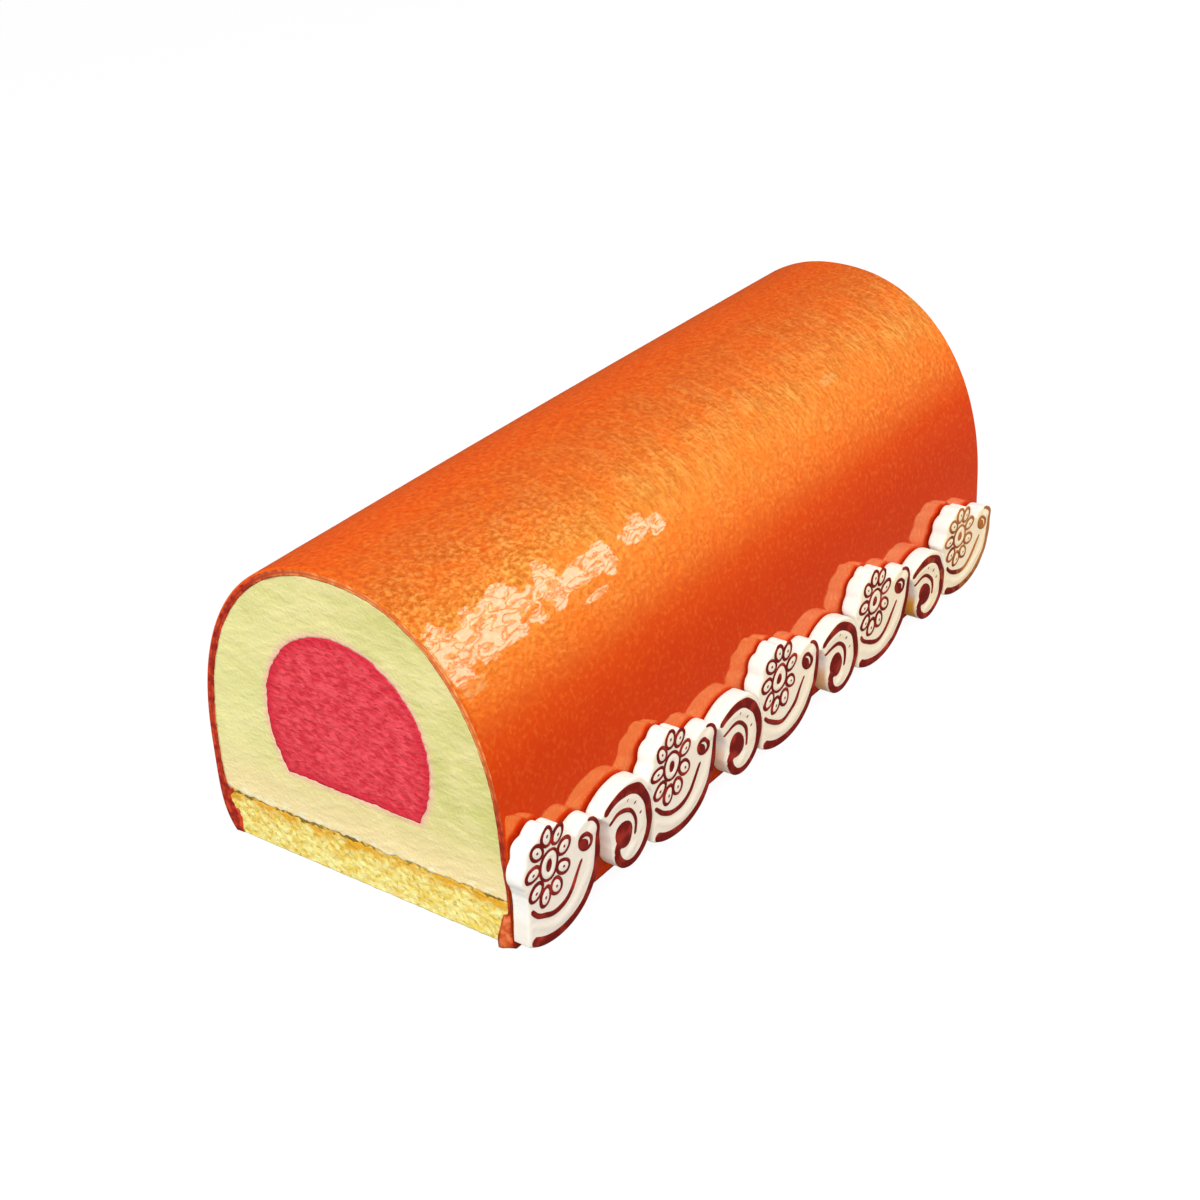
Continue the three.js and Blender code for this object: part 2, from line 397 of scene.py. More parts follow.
def pearl_glaze():
    """Mirror glaze, poured warm over the frozen loaf: an orange pearl skin, wrinkled on its shoulder."""
    material, tree, place = new_surface("pearl_mirror_glaze_poured")
    roof = add(tree, "ShaderNodeMapRange", {
        "interpolation_type": "SMOOTHSTEP",
        "Value": add(tree, "ShaderNodeSeparateXYZ", {0: place}).outputs["Z"],
        "From Min": 35 * MM,
        "From Max": 72 * MM,
    })
    tone = add(tree, "ShaderNodeTexNoise", {"Vector": place, "Scale": PER_MM / 14, "Detail": 3})
    thin_and_sheen = add(tree, "ShaderNodeMath", {"operation": "MULTIPLY_ADD", 0: tone, 1: 0.3, 2: roof})
    # A paler, patchy band along the shoulder on the frieze's side is painted sheen, where the strip light's
    # reflection falls.
    shoulder = fade(tree, place, "X", -4, 23, fade(tree, place, "X", 38.5, 25))
    broad = add(tree, "ShaderNodeTexNoise", {"Vector": place, "Scale": PER_MM / 9, "Detail": 3})
    patchy = add(tree, "ShaderNodeMapRange", {
        "Value": broad,
        "From Min": 0.15,
        "From Max": 0.6,
        "To Max": shoulder,
    })
    # Near the front the skin set in a fine leathery grain. Further back it wrinkled round the loaf instead,
    # in crests a millimetre or two apart, with painted golden highlights on the ridges and painted shade in
    # the furrows.
    grain = add(tree, "ShaderNodeTexNoise", {
        "Vector": add(tree, "ShaderNodeMapping", {"Vector": place, "Scale": (1, 1 / 1.5, 1)}),
        "Scale": PER_MM / 1.0,
        "Detail": 2,
        "Distortion": 0.25,
    })
    wrinkles = add(tree, "ShaderNodeTexNoise", {
        "Vector": add(tree, "ShaderNodeMapping", {"Vector": place, "Scale": (1 / 3, 1, 1 / 3)}),
        "Scale": PER_MM / 1.7,
        "Detail": 3,
        "Distortion": 0.7,
    })
    wrinkled = fade(tree, place, "Y", 40, 75, fade(tree, place, "X", 34, 27))
    creases = add(tree, "ShaderNodeMix", {0: wrinkled, 2: grain, 3: wrinkles})
    raised = add(tree, "ShaderNodeMapRange", {
        "Value": wrinkled,
        "From Min": 2.6,
        "From Max": 0.0,
        "To Max": patchy,
    })
    # Pearl flakes catch the light one by one: they are painted as lighter glints and darker specks half a
    # millimetre wide, so that they show.
    flakes_and_glints = add(tree, "ShaderNodeTexNoise", {"Vector": place, "Scale": PER_MM / 1.1, "Detail": 1})
    strewn = add(tree, "ShaderNodeMapRange", {"Value": roof, "From Min": -0.5, "To Max": 0.42})
    fine = add(tree, "ShaderNodeMath", {"operation": "MULTIPLY", 0: flakes_and_glints, 1: roof})
    relief = add(tree, "ShaderNodeMath", {"operation": "MULTIPLY_ADD", 0: creases, 1: patchy, 2: fine})
    shine = shiny_flakes(tree, place)
    colour = layered(tree, "d4300a", [
        # The glaze drained off the roof, where it is thin, and lies thick and red on the walls; the roof's
        # paler golden colour is partly painted sheen.
        (thin_and_sheen, 0.15, 1.15, 1, "ee540e"),
        # Painted light: the left of the roof, which the lamps light less, is painted brighter.
        (fade(tree, place, "X", 2, -16), 0, 1, roof, "ff520a"),
        # Painted sheen along the shoulder.
        (patchy, 0, 1, 1, "c9632a"),
        # Painted highlights on the wrinkles' ridges, and painted shade in their furrows.
        (creases, 0.5, 0.65, raised, "e89850"),
        (creases, 0.5, 0.35, raised, "bc480e"),
        # Painted glints of the pearl flakes, light and dark.
        (flakes_and_glints, 0.52, 0.75, strewn, "ff8a30"),
        (flakes_and_glints, 0.48, 0.25, strewn, "c42c06"),
        # By the front cut the foot of the frieze's wall is as dark as the cut itself.
        (fade(tree, place, "Y", 3, 1), 0, 1, fade(tree, place, "Z", 24, 14), "8c1408"),
        # Where the shiny flakes lie they are also painted pale: a painted highlight over their real shine.
        (shine, 0, 1, 0.32, "f0c084"),
    ])
    # The thick walls set as smooth as a mirror, and the wrinkled roof spreads what it reflects.
    roughness = add(tree, "ShaderNodeMapRange", {
        "Value": roof,
        "From Max": 0.7,
        "To Min": 0.07,
        "To Max": 0.5,
    })
    return finish_surface(material, {
        "Base Color": colour,
        "Roughness": roughness,
        "IOR": 2.3,
        "Specular Tint": "ffd438",
        "Coat Weight": shine,
        "Coat Roughness": 0.08,
        "Coat IOR": 1.65,
        "Normal": add(tree, "ShaderNodeBump", {"Height": relief, "Distance": 0.35 * MM, "Strength": 0.8}),
    })


def glaze_cut():
    """The same glaze where the knife went through it: dark red jelly, with painted light that makes it orange
    on the right, as if lit through.
    """
    material, tree, place = new_surface("mirror_glaze_cut_edge")
    streaks = add(tree, "ShaderNodeTexNoise", {"Vector": place, "Scale": PER_MM / 1.6, "Detail": 3})
    lit = add(tree, "ShaderNodeAttribute", {"attribute_name": "lit"}).outputs["Fac"]
    seam = add(tree, "ShaderNodeAttribute", {"attribute_name": "seam"}).outputs["Fac"]
    bright = layered(tree, "ea702c", [(streaks, 0.4, 0.65, 1, "ffa864")])
    line = layered(tree, "a02812", [(lit, 0, 1, 1, "d86628")])
    colour = layered(tree, "9c160a", [
        (streaks, 0.4, 0.65, 1, "e04a20"),
        # Painted light: paler and orange where the cut is painted as lit through.
        (lit, 0, 1, 1, bright),
        # A thin darker line runs half way across the cut, where the skin meets the softer glaze under it.
        (seam, 0, 1, 1, line),
    ])
    return finish_surface(material, {
        "Base Color": colour,
        "Roughness": 0.3,
        "IOR": 1.4,
        "Coat Weight": 0.1,
        "Coat Roughness": 0.15,
        "Normal": add(tree, "ShaderNodeBump", {"Height": streaks, "Distance": 0.2 * MM}),
    })


def pale_mousse():
    """Set mousse, cut with a warm knife: satin, pale yellow, with soft smears along the stroke."""
    material, tree, place = new_surface("mousse_set_and_cut")
    stroke = add(tree, "ShaderNodeMapping", {
        "Vector": place,
        "Rotation": (0, math.radians(-28), 0),
        "Scale": (1 / 3, 1, 1),
    })
    smears = add(tree, "ShaderNodeTexNoise", {
        "Vector": stroke,
        "Scale": PER_MM / 2.2,
        "Detail": 4,
        "Distortion": 0.5,
    })
    clouds = add(tree, "ShaderNodeTexNoise", {"Vector": place, "Scale": PER_MM / 16, "Detail": 2})
    both = add(tree, "ShaderNodeMath", {"operation": "ADD", 0: smears, 1: clouds})
    dabs = add(tree, "ShaderNodeTexNoise", {"Vector": place, "Scale": PER_MM / 2.5, "Detail": 3})
    tinted = add(tree, "ShaderNodeAttribute", {"attribute_name": "tinted"}).outputs["Fac"]
    colour = layered(tree, "d8d483", [
        (both, 0.82, 1.18, 1, "ebe19c"),
        # It is paler to the left, and warmer towards the bottom.
        (fade(tree, place, "X", 0, -34), 0, 1, 0.6, "f6f0a8"),
        (fade(tree, place, "Z", 27, 13), 0, 1, 0.9, "ffe6ac"),
        # The knife dragged a little of it, paler, along the top of the sponge.
        (dabs, 0.5, 0.58, fade(tree, place, "Z", 13.5, 12, 0.8), "fff6cc"),
        # The fruit's juice tinted the edge it touches.
        (tinted, 0, 0.8, 0.8, "f8c0aa"),
    ])
    grain = add(tree, "ShaderNodeTexNoise", {"Vector": place, "Scale": PER_MM / 0.8, "Detail": 2})
    rise = add(tree, "ShaderNodeMath", {"operation": "MULTIPLY_ADD", 0: grain, 1: 0.6, 2: smears})
    return finish_surface(material, {
        "Base Color": colour,
        "Roughness": 0.6,
        "Subsurface Weight": 0.2,
        "Subsurface Radius": (1.0, 0.8, 0.4),
        "Subsurface Scale": 1.0 * MM,
        "Normal": add(tree, "ShaderNodeBump", {"Height": rise, "Distance": 0.4 * MM, "Strength": 0.8}),
    })


def fruit_mousse():
    """Fruit mousse, frozen and cut: a finer, wetter grain than the cream round it, deeper red at its rim."""
    material, tree, place = new_surface("fruit_mousse_set_and_cut")
    dragged = add(tree, "ShaderNodeMapping", {
        "Vector": place,
        "Rotation": (0, math.radians(-30), 0),
        "Scale": (1 / 2, 1, 1),
    })
    grain = add(tree, "ShaderNodeTexNoise", {
        "Vector": dragged,
        "Scale": PER_MM / 0.95,
        "Detail": 3,
        "Distortion": 0.4,
    })
    rim = add(tree, "ShaderNodeAttribute", {"attribute_name": "rim"}).outputs["Fac"]
    colour = layered(tree, "da2a38", [
        (grain, 0.36, 0.64, 1, "f8525e"),
        (rim, 0, 1, 0.8, "dc1c38"),
    ])
    return finish_surface(material, {
        "Base Color": colour,
        "Roughness": 0.42,
        "IOR": 1.4,
        "Subsurface Weight": 0.1,
        "Subsurface Radius": (1.0, 0.3, 0.25),
        "Subsurface Scale": 0.8 * MM,
        "Normal": add(tree, "ShaderNodeBump", {"Height": grain, "Distance": 0.65 * MM, "Strength": 1.0}),
    })


def sponge_crumb():
    """Baked sponge, torn open by the knife: a dry open crumb, ochre under the crust, with painted shade in
    ochre inside its holes.
    """
    material, tree, place = new_surface("sponge_baked_crumb")
    hollow = add(tree, "ShaderNodeAttribute", {"attribute_name": "hollow"}).outputs["Fac"]
    golden = add(tree, "ShaderNodeAttribute", {"attribute_name": "golden"}).outputs["Fac"]
    dragged = add(tree, "ShaderNodeMapping", {
        "Vector": place,
        "Rotation": (0, math.radians(25), 0),
        "Scale": (1 / 1.5, 1, 1),
    })
    crumb = add(tree, "ShaderNodeTexNoise", {"Vector": dragged, "Scale": PER_MM / 1.5, "Detail": 4})
    specks = add(tree, "ShaderNodeTexNoise", {"Vector": place, "Scale": PER_MM / 1.0, "Detail": 2})
    patches = add(tree, "ShaderNodeTexNoise", {"Vector": place, "Scale": PER_MM / 4, "Detail": 3})
    browning = add(tree, "ShaderNodeMath", {"operation": "MULTIPLY_ADD", 0: patches, 1: 2.4, 2: golden})
    colour = layered(tree, "f0d462", [
        (crumb, 0.35, 0.6, 1, "fff3a2"),
        (specks, 0.58, 0.7, 0.8, "cfa424"),
        # The oven's heat coloured it from the top, more in some places than in others.
        (browning, 1.3, 2.2, 0.95, "e6a824"),
        # Painted shade: ochre deep in the crumb's holes.
        (hollow, 0, 1, 1, "d2a82c"),
    ])
    pores = add(tree, "ShaderNodeTexNoise", {"Vector": place, "Scale": PER_MM / 1.2, "Detail": 3})
    return finish_surface(material, {
        "Base Color": colour,
        "Roughness": 0.9,
        "IOR": 1.3,
        "Subsurface Weight": 0.2,
        "Subsurface Radius": (1.0, 0.7, 0.3),
        "Subsurface Scale": 1.0 * MM,
        "Normal": add(tree, "ShaderNodeBump", {"Height": pores, "Distance": 0.5 * MM}),
    })


def sponge_crust():
    """The sponge's baked top skin: a thin dark line, uneven, where the knife went through it. Its dark colour
    is partly the crust's own and partly painted shade of the gap it lies in.
    """
    material, tree, place = new_surface("sponge_crust_and_gap_shade")
    blotches = add(tree, "ShaderNodeTexNoise", {"Vector": place, "Scale": PER_MM / 2.4, "Detail": 3})
    return finish_surface(material, {
        "Base Color": layered(tree, "84681e", [(blotches, 0.48, 0.58, 1, "e4bc4e")]),
        "Roughness": 0.85,
        "Normal": add(tree, "ShaderNodeBump", {"Height": blotches, "Distance": 0.3 * MM}),
    })


def white_chocolate():
    """White chocolate, cast in a relief mould: satin and creamy, with painted shade that makes its front
    faces and its far end yellower and darker.
    """
    material, tree, place = new_surface("white_chocolate_moulded")
    clouds = add(tree, "ShaderNodeTexNoise", {"Vector": place, "Scale": PER_MM / 9, "Detail": 3})
    # Painted shade: the far end is painted yellower and darker, as the lamps light it less.
    far_shade = add(tree, "ShaderNodeMapRange", {
        "Value": fade(tree, place, "Y", 0, LENGTH),
        "To Min": -0.25,
        "To Max": 0.6,
    })
    tone_and_far_shade = add(tree, "ShaderNodeMath", {"operation": "MULTIPLY_ADD", 0: clouds, 1: 0.5, 2: far_shade})
    # The front faces are painted warmer and darker than the sides, as painted shade, and the sides stay
    # white.
    face = fade(tree, place, "X", FRIEZE_FRONT - 0.8, FRIEZE_FRONT - 0.45)
    front = layered(tree, "f6eada", [(tone_and_far_shade, 0, 1, 1, "f6dfb4")])
    # Painted light: a golden glow, thrown by the glaze, on the near side of each plaque's foot.
    foot_glow = add(tree, "ShaderNodeAttribute", {"attribute_name": "foot_glow"}).outputs["Fac"]
    texture = add(tree, "ShaderNodeTexNoise", {"Vector": place, "Scale": PER_MM / 1.5, "Detail": 2})
    return finish_surface(material, {
        "Base Color": layered(tree, "fffcf4", [(face, 0, 1, 1, front), (foot_glow, 0, 1, 1, "dca032")]),
        "Roughness": 0.38,
        "Subsurface Weight": 0.15,
        "Subsurface Radius": (1.0, 0.9, 0.7),
        "Subsurface Scale": 1.0 * MM,
        "Normal": add(tree, "ShaderNodeBump", {"Height": texture, "Distance": 0.12 * MM}),
    })


def maroon_colour():
    """Maroon cocoa butter, brushed on the raised lines: satin, thin and redder in places."""
    material, tree, place = new_surface("maroon_cocoa_butter_brushed")
    brushed = add(tree, "ShaderNodeTexNoise", {"Vector": place, "Scale": PER_MM / 4, "Detail": 3})
    # The brush was running dry towards the far end, sooner high up, and left a golden wash there.
    parts = add(tree, "ShaderNodeSeparateXYZ", {0: place}).outputs
    higher = add(tree, "ShaderNodeMath", {"operation": "MULTIPLY_ADD", 0: parts["Z"], 1: 0.6, 2: parts["Y"]})
    dry = add(tree, "ShaderNodeMath", {"operation": "MULTIPLY_ADD", 0: brushed, 1: 60 * MM, 2: higher})
    colour = layered(tree, "701008", [
        (brushed, 0.48, 0.72, 1, "a83022"),
        (dry, (FRONT + 210) * MM, (FRONT + 222) * MM, 0.75, "b47434"),
    ])
    return finish_surface(material, {
        "Base Color": colour,
        "Roughness": 0.35,
        "IOR": 1.25,
        "Normal": add(tree, "ShaderNodeBump", {"Height": brushed, "Distance": 0.2 * MM}),
    })


# ---- Making meshes ----


def keep_faces(work, mesh):
    """Turns the faces outwards, shades them smooth and puts them in the mesh."""
    bmesh.ops.recalc_face_normals(work, faces=work.faces)
    for face in work.faces:
        face.smooth = True
    work.to_mesh(mesh)
    work.free()


def tidy_mesh(mesh):
    """Merges points that fall together, and tidies the faces."""
    work = bmesh.new()
    work.from_mesh(mesh)
    bmesh.ops.remove_doubles(work, verts=work.verts, dist=1e-6)
    bmesh.ops.dissolve_degenerate(work, edges=work.edges, dist=1e-7)
    keep_faces(work, mesh)


def skin(name, rows, rows_closed, columns_closed, material):
    """A mesh over a grid of points. A closed way joins its last line of points to its first."""
    count, width = rows.shape[:2]
    near = np.arange(count * width).reshape(count, width)
    far = np.roll(near, -1, axis=0)
    if not rows_closed:
        near, far = near[:-1], far[:-1]
    quads = np.stack([near, far, np.roll(far, -1, axis=1), np.roll(near, -1, axis=1)], axis=-1)
    if not columns_closed:
        quads = quads[:, :-1]
    return meshed(name, placed(rows.reshape(-1, 3)).tolist(), [], quads.reshape(-1, 4).tolist(), material)


def points_of(mesh):
    """A mesh's points, in metres."""
    co = np.zeros(len(mesh.vertices) * 3)
    mesh.vertices.foreach_get("co", co)
    return co.reshape(-1, 3)


def set_weight(mesh, name, values):
    """Gives each point of a mesh a value that its material or tree reads."""
    attribute = mesh.attributes.new(name, "FLOAT", "POINT")
    attribute.data.foreach_set("value", np.asarray(values, np.float32).ravel())


def uneven(points, size, seed):
    """Smooth unevenness at each point, about -1 to 1, with bumps about size millimetres across."""
    shift = Vector((seed * 17.3, seed * 5.1, seed * 9.7))
    return np.array([noise.noise(Vector(point) / size + shift) for point in points])


def rise(value, none, full):
    """How far a value has come on its way from none to full, 0 to 1."""
    return np.clip((value - none) / (full - none), 0, 1)


def resampled(points, count):
    """The same line with its points evenly spaced."""
    points = np.asarray(points, float)
    steps = np.linalg.norm(np.diff(points, axis=0), axis=1)
    run = np.concatenate([[0], np.cumsum(steps)])
    even = np.linspace(0, run[-1], count)
    return np.stack([np.interp(even, run, points[:, axis]) for axis in range(points.shape[1])], axis=1)


def bezier(start, first, second, end, steps):
    """Points of a cubic curve, its end left out."""
    t = np.linspace(0, 1, steps, endpoint=False)[:, None]
    start, first, second, end = (np.array(p, float) for p in (start, first, second, end))
    return (1 - t) ** 3 * start + 3 * t * (1 - t) ** 2 * first + 3 * t ** 2 * (1 - t) * second + t ** 3 * end


def through(points):
    """A smooth line through a few points."""
    points = np.asarray(points, float)
    points = np.concatenate([[2 * points[0] - points[1]], points, [2 * points[-1] - points[-2]]])
    stretches = [
        bezier(start, start + (end - before) / 6, end - (after - start) / 6, end, 12)
        for before, start, end, after in zip(points, points[1:], points[2:], points[3:])
    ]
    return np.concatenate([*stretches, [points[-2]]])


def run_tree(piece, tree, inputs):
    """Runs a Geometry Nodes tree with its named inputs, and keeps the plain mesh that it makes."""
    modifier = piece.modifiers.new(tree.name, "NODES")
    modifier.node_group = tree
    for item in tree.interface.items_tree:
        if item.in_out == "INPUT" and item.name in inputs:
            modifier[item.identifier] = inputs[item.name]
    piece.update_tag()
    keep_result(piece)
    return piece


def evaluated(piece):
    """A new mesh of what a curve or a piece with modifiers comes to."""
    graph = bpy.context.evaluated_depsgraph_get()
    return bpy.data.meshes.new_from_object(piece.evaluated_get(graph), depsgraph=graph)


def keep_result(piece):
    """Applies a piece's modifiers, by keeping its evaluated mesh."""
    made = evaluated(piece)
    piece.modifiers.clear()
    piece.data = made


def new_tree(name, inputs):
    """A Geometry Nodes tree with these named inputs, each given by a value or a kind, and their sockets."""
    kinds = {float: "NodeSocketFloat", int: "NodeSocketInt", bpy.types.Material: "NodeSocketMaterial"}
    tree = bpy.data.node_groups.new(name, "GeometryNodeTree")
    tree.interface.new_socket("Geometry", in_out="INPUT", socket_type="NodeSocketGeometry")
    for label, value in inputs.items():
        kind = value if isinstance(value, str) else kinds[type(value)]
        socket = tree.interface.new_socket(label, in_out="INPUT", socket_type=kind)
        if kind is not value:
            socket.default_value = value
    tree.interface.new_socket("Geometry", in_out="OUTPUT", socket_type="NodeSocketGeometry")
    return tree, add(tree, "NodeGroupInput").outputs


def finish_tree(tree, shape, settings):
    """Ends a Geometry Nodes tree with the plain mesh of its shape, in its material."""
    realized = add(tree, "GeometryNodeRealizeInstances", {"Geometry": shape})
    dressed = add(tree, "GeometryNodeSetMaterial", {"Geometry": realized, **settings})
    add(tree, "NodeGroupOutput", {"Geometry": dressed})
    return tree


# ---- Cross-sections ----


def swollen(arch, y):
    """The arch at a distance along the cake: the loaf is fuller half way along."""
    swell = SWELL * math.sin(math.pi * min(max(y / LENGTH, 0), 1))
    return {**arch, "half": arch["half"] + swell, "top": arch["top"] + swell}


def wall_reach(arch, foot, z):
    """How far a side wall stands from the middle at each height up to the widest."""
    down = (arch["widest"] - z) / (arch["widest"] - arch["floor"])
    return foot + (arch["half"] - foot) * (1 - down ** arch["foot_power"])


def arch_points(arch, start):
    """An arch from a height on its right wall, over the roof, down to that height on its left wall."""
    up = np.linspace(start, arch["widest"], 60)
    angle = np.linspace(0, math.pi, 361)[1:-1]
    flatten = 2 / arch["roof_power"]
    across = np.sign(np.cos(angle)) * np.abs(np.cos(angle)) ** flatten
    vault = arch["top"] - arch["widest"]
    right = np.stack([wall_reach(arch, arch["foot_right"], up), up], axis=1)
    roof = np.stack([arch["half"] * across, arch["widest"] + vault * np.sin(angle) ** flatten], axis=1)
    left = np.stack([-wall_reach(arch, arch["foot_left"], up), up], axis=1)[::-1]
    return np.concatenate([right, roof, left])


def glaze_run(z):
    """How far the glaze ran in under the left side at each height."""
    depth = np.zeros_like(z)
    for height, reach, most in GLAZE_RUNS:
        depth += most * rise(np.abs(z - height), reach, 0) ** 0.8
    return depth


def core_points(y, start):
    """The outline of what the glaze covers: run in on at its left, and pressed out low on its right."""
    points = arch_points(swollen(CORE_ARCH, y), start)
    left = points[:, 0] < 0
    points[left, 0] += glaze_run(points[left, 1])
    z = points[~left, 1]
    points[~left, 0] += CORE_PRESSED * rise(z, 7.4, 8.2) * rise(z, 22, 10)
    return points


def crumb_line(x, y, base, seed):
    """An uneven edge between the mousse and the sponge: the knife dragged it up and down.

    It strays by up to about a millimetre, and is a little higher towards the frieze.
    """
    points = np.stack([x, np.full_like(x, y * 0.06), np.zeros_like(x)], axis=1)
    fine = uneven(points, 1.3, seed)
    broad = uneven(points, 7, seed + 1)
    return base + 0.2 * x / 40 + 0.65 * fine + 0.5 * broad


def by_angle(points, centre, angles):
    """Where rays from a centre, one for each angle, meet a closed outline."""
    away = points - np.array(centre)
    around = np.unwrap(np.arctan2(away[:, 1], away[:, 0]))
    reach = np.linalg.norm(away, axis=1)
    order = np.argsort(around)
    around, reach = around[order], reach[order]
    radius = np.interp(angles, around, reach, period=2 * math.pi)
    return np.stack([centre[0] + radius * np.cos(angles), centre[1] + radius * np.sin(angles)], axis=1)


# ---- The loaf ----

FAR_NOISE = 40  # the two cuts read their unevenness this far apart, so that they differ
MOUSSE_CENTRE = (0, 38)
ROUND = np.linspace(0, 2 * math.pi, 480, endpoint=False)  # angles round the mousse and the fruit centre
SPONGE_SEED = 51  # the unevenness of the sponge's top
FOOT_SEED = 21  # the unevenness of the mousse's foot


def at_depth(section, depth):
    """A section's points at a distance along the cake, one distance for all or one for each point."""
    return np.stack([section[:, 0], np.broadcast_to(depth, len(section)), section[:, 1]], axis=1)


def cut_rows(inner, outer, count, far, recess, apart=FAR_NOISE):
    """Rows of points on a cut end, from an inner outline to an outer one, as far in as recess gives."""
    rows = []
    for share in np.linspace(0, 1, count):
        flat = inner + (outer - inner) * share
        depth = recess(at_depth(flat, apart if far else 0))
        rows.append(at_depth(flat, LENGTH - depth if far else depth))
    return rows


def cut_piece(name, outline, start, recess, material, cut_count, stations, hollow=False):
    """A piece that runs through the cake from cut to cut.

    outline gives its section at a distance along the cake. start gives where the rows of its cut faces
    start: on a line within the section, or on the wall of the hollow that runs through it. cut_count and
    stations are the numbers of rows on each cut face and along the cake.
    """
    front, back = outline(0), outline(LENGTH)
    rows = [
        *cut_rows(start(front, 0), front, cut_count, False, recess),
        *[at_depth(outline(y), y) for y in np.linspace(0, LENGTH, stations)[1:-1]],
        *reversed(cut_rows(start(back, LENGTH), back, cut_count, True, recess)),
    ]
    if hollow:
        rows += [at_depth(start(None, y), y) for y in np.linspace(LENGTH, 0, stations)[1:-1]]
    piece = skin(name, np.array(rows), hollow, True, material)
    tidy_mesh(piece.data)
    return piece


def on_line(reach, height):
    """Where cut faces start in a full section: on a level line through it."""
    def line(section, y):
        return np.stack([np.clip(section[:, 0], -reach, reach), np.full(len(section), height)], axis=1)

    return line


def glaze_shell(material, cut_material):
    """The poured coat, a thin arch over the whole loaf, with a soft lip at each cut."""
    columns = 236
    stations = 330
    lip = 0.5
    rim_rows = 5

    def outside(y):
        to_cut = min(y, LENGTH - y)
        drawn = lip - math.sqrt(max(lip ** 2 - (lip - to_cut) ** 2, 0)) if to_cut < lip else 0
        arch = swollen(GLAZE_ARCH, y)
        for size in ("half", "top", "foot_left", "foot_right"):
            arch[size] -= drawn
        return resampled(arch_points(arch, 0), columns)

    def inside(y):
        return resampled(core_points(y, 0), columns)

    def recess(points):
        return 0.15 + 0.12 * uneven(points, 1.8, 3)

    lip_steps = [0, 0.06, 0.17, 0.33]  # close together, for the lip's curve
    spread = np.linspace(lip, LENGTH - lip, stations)
    ys = [*lip_steps, *spread, *[LENGTH - step for step in reversed(lip_steps)]]
    rows = np.array([
        *cut_rows(inside(0), outside(0), rim_rows, False, recess)[:-1],
        *[at_depth(outside(y), y) for y in ys],
        *reversed(cut_rows(inside(LENGTH), outside(LENGTH), rim_rows, True, recess, LENGTH)[:-1]),
        *[at_depth(inside(y), y) for y in np.linspace(0, LENGTH, 14)[-2:0:-1]],
    ])
    first, after = rim_rows - 1, rim_rows - 1 + len(ys)  # the rows of the outer face
    x, y, height = np.moveaxis(rows, 2, 0)
    # At the front cut the knife pulled the foot of the frieze's side forward into a small wedge.
    wedge = rise(x, 37.5, 38.5) * rise(x, 41.8, 39.6) * rise(height, 7.6, 0)
    rows[:, :, 1] = y - PULLED_FOOT * wedge * rise(y, 5, 0)
    piece = skin("glaze_shell", rows, True, False, cut_material)
    # The poured face wrinkled and sagged most on the shoulder, and hardly at all low on the walls.
    poured = np.zeros(height.shape)
    poured[first:after] = 1
    poured *= rise(height, 0, 3) * np.maximum(rise(height, 20, 60), 0.2)
    poured *= 0.4 + 0.6 * rise(x, -2, 18)
    set_weight(piece.data, "poured", poured)
    # At the cuts the coat is painted with light and shade: dark at its left side and feet, and painted as lit
    # through on its right shoulder.
    lit = rise(x, -24, 0) * rise(height, 28, 50)
    # It is painted as lit through in its right foot too, where it ran in under the sponge's edge.
    in_foot = rise(x, 30, 34) * rise(height, 8, 6.8)
    within = np.zeros((len(rows), 1))  # marks the rows between the edges of each cut
    within[1:first] = 1
    within[after + 1:after + 3] = 1
    set_weight(piece.data, "lit", np.maximum(lit, 0.5 * in_foot * within))
    seam = np.zeros(height.shape)
    seam[[rim_rows // 2, after + 1]] = 1
    set_weight(piece.data, "seam", seam * (1 - in_foot))
    outer_faces = np.zeros((len(rows), columns - 1), bool)
    outer_faces[first:after - 1] = True
    selection = piece.data.attributes.new("outer", "BOOLEAN", "FACE")
    selection.data.foreach_set("value", outer_faces.ravel())
    close_feet(piece.data, len(rows), columns)
    inputs = {
        "Wrinkle Depth": 0.14 * MM,
        "Wrinkle Spacing": 2.2 * MM,
        "Wrinkle Length": 7.0 * MM,
        "Sag Depth": 0.16 * MM,
        "Sag Size": 9.0 * MM,
        "Seed": 4.0,
        "Material": material,
    }
    return run_tree(piece, wrinkle_tree(inputs), inputs)


def close_feet(mesh, count, width):
    """Closes the two feet of the coat, each a long flat face on the floor."""
    work = bmesh.new()
    work.from_mesh(mesh)
    work.verts.ensure_lookup_table()
    for column in (0, width - 1):
        work.faces.new([work.verts[row * width + column] for row in range(count)])
    keep_faces(work, mesh)


